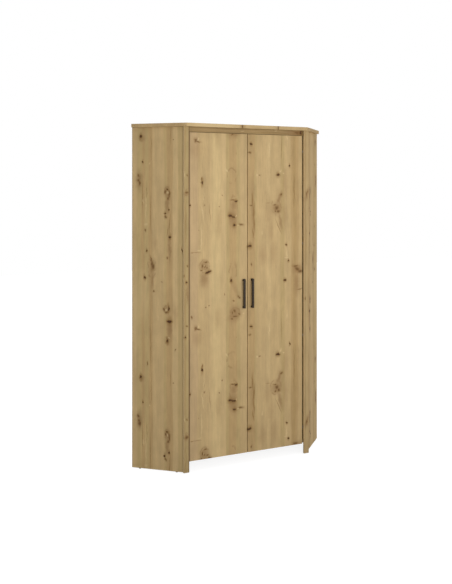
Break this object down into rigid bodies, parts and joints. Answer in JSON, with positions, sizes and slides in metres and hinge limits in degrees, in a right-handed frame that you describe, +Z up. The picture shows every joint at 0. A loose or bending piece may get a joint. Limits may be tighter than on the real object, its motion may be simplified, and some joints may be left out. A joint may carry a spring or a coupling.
{
  "type": "corner wardrobe",
  "caption": "Five-sided corner wardrobe in knotty oak decor, with paired doors across its diagonal front, a hat shelf and a hanging rail.",
  "frame": {"origin": "on the floor, under the middle of the object's bounding box", "axes": "+Z up, -Y the way that the diagonal front and its doors face, +Y towards the room's corner, +X to the right for someone facing the doors"},
  "size_m": [1.3692, 0.9392, 2.106],
  "materials": {
    "oak_decor": "satin foil with a knotty oak plank decor, grain upright",
    "hardboard": "matte hardboard",
    "dark_metal": "satin dark graphite",
    "nickel": "nickel plated steel",
    "chrome": "polished",
    "black_plastic": "matte moulded",
    "clear_plastic": "soft translucent bumper"
  },
  "bodies": {
    "carcass": {"top_panel": "oak_decor", "top_rail": "oak_decor", "floor_panel": "oak_decor", "hat_shelf": "oak_decor", "rear_corner_board": "oak_decor", "left_side_panel": "oak_decor", "right_side_panel": "oak_decor", "left_stile": "oak_decor", "right_stile": "oak_decor", "left_back_panel": "hardboard", "right_back_panel": "hardboard", "left_hinge_arm_1": "nickel", "left_hinge_arm_2": "nickel", "left_hinge_arm_3": "nickel", "left_hinge_arm_4": "nickel", "right_hinge_arm_1": "nickel", "right_hinge_arm_2": "nickel", "right_hinge_arm_3": "nickel", "right_hinge_arm_4": "nickel", "hanging_rail": "chrome", "left_rail_bracket": "chrome", "right_rail_bracket": "chrome", "left_shelf_pin_rear": "nickel", "left_shelf_pin_front": "nickel", "right_shelf_pin_rear": "nickel", "right_shelf_pin_front": "nickel", "corner_shelf_pin": "nickel", "left_top_cam_rear": "nickel", "left_top_cam_front": "nickel", "right_top_cam_rear": "nickel", "right_top_cam_front": "nickel", "left_floor_cam_rear": "nickel", "left_floor_cam_front": "nickel", "right_floor_cam_rear": "nickel", "right_floor_cam_front": "nickel", "left_rear_glide": "black_plastic", "left_front_glide": "black_plastic", "right_rear_glide": "black_plastic", "right_front_glide": "black_plastic", "corner_glide": "black_plastic", "middle_foot": "black_plastic"},
    "left_leaf": {"left_door": "oak_decor", "left_handle": "dark_metal", "left_handle_screw_lower": "nickel", "left_handle_screw_upper": "nickel", "left_hinge_cup_1": "nickel", "left_hinge_cup_2": "nickel", "left_hinge_cup_3": "nickel", "left_hinge_cup_4": "nickel", "left_door_bumper": "clear_plastic"},
    "right_leaf": {"right_door": "oak_decor", "right_handle": "dark_metal", "right_handle_screw_lower": "nickel", "right_handle_screw_upper": "nickel", "right_hinge_cup_1": "nickel", "right_hinge_cup_2": "nickel", "right_hinge_cup_3": "nickel", "right_hinge_cup_4": "nickel", "right_door_bumper": "clear_plastic"}
  },
  "joints": [
    {"name": "left_door_hinge", "type": "hinge", "parent": "carcass", "child": "left_leaf", "pos_m": [-0.40503, -0.44387, 1.058], "axis": [0, 0, -1], "range_deg": [0, 95]},
    {"name": "right_door_hinge", "type": "hinge", "parent": "carcass", "child": "right_leaf", "pos_m": [0.40503, -0.44387, 1.058], "axis": [0, 0, 1], "range_deg": [0, 95]}
  ]
}
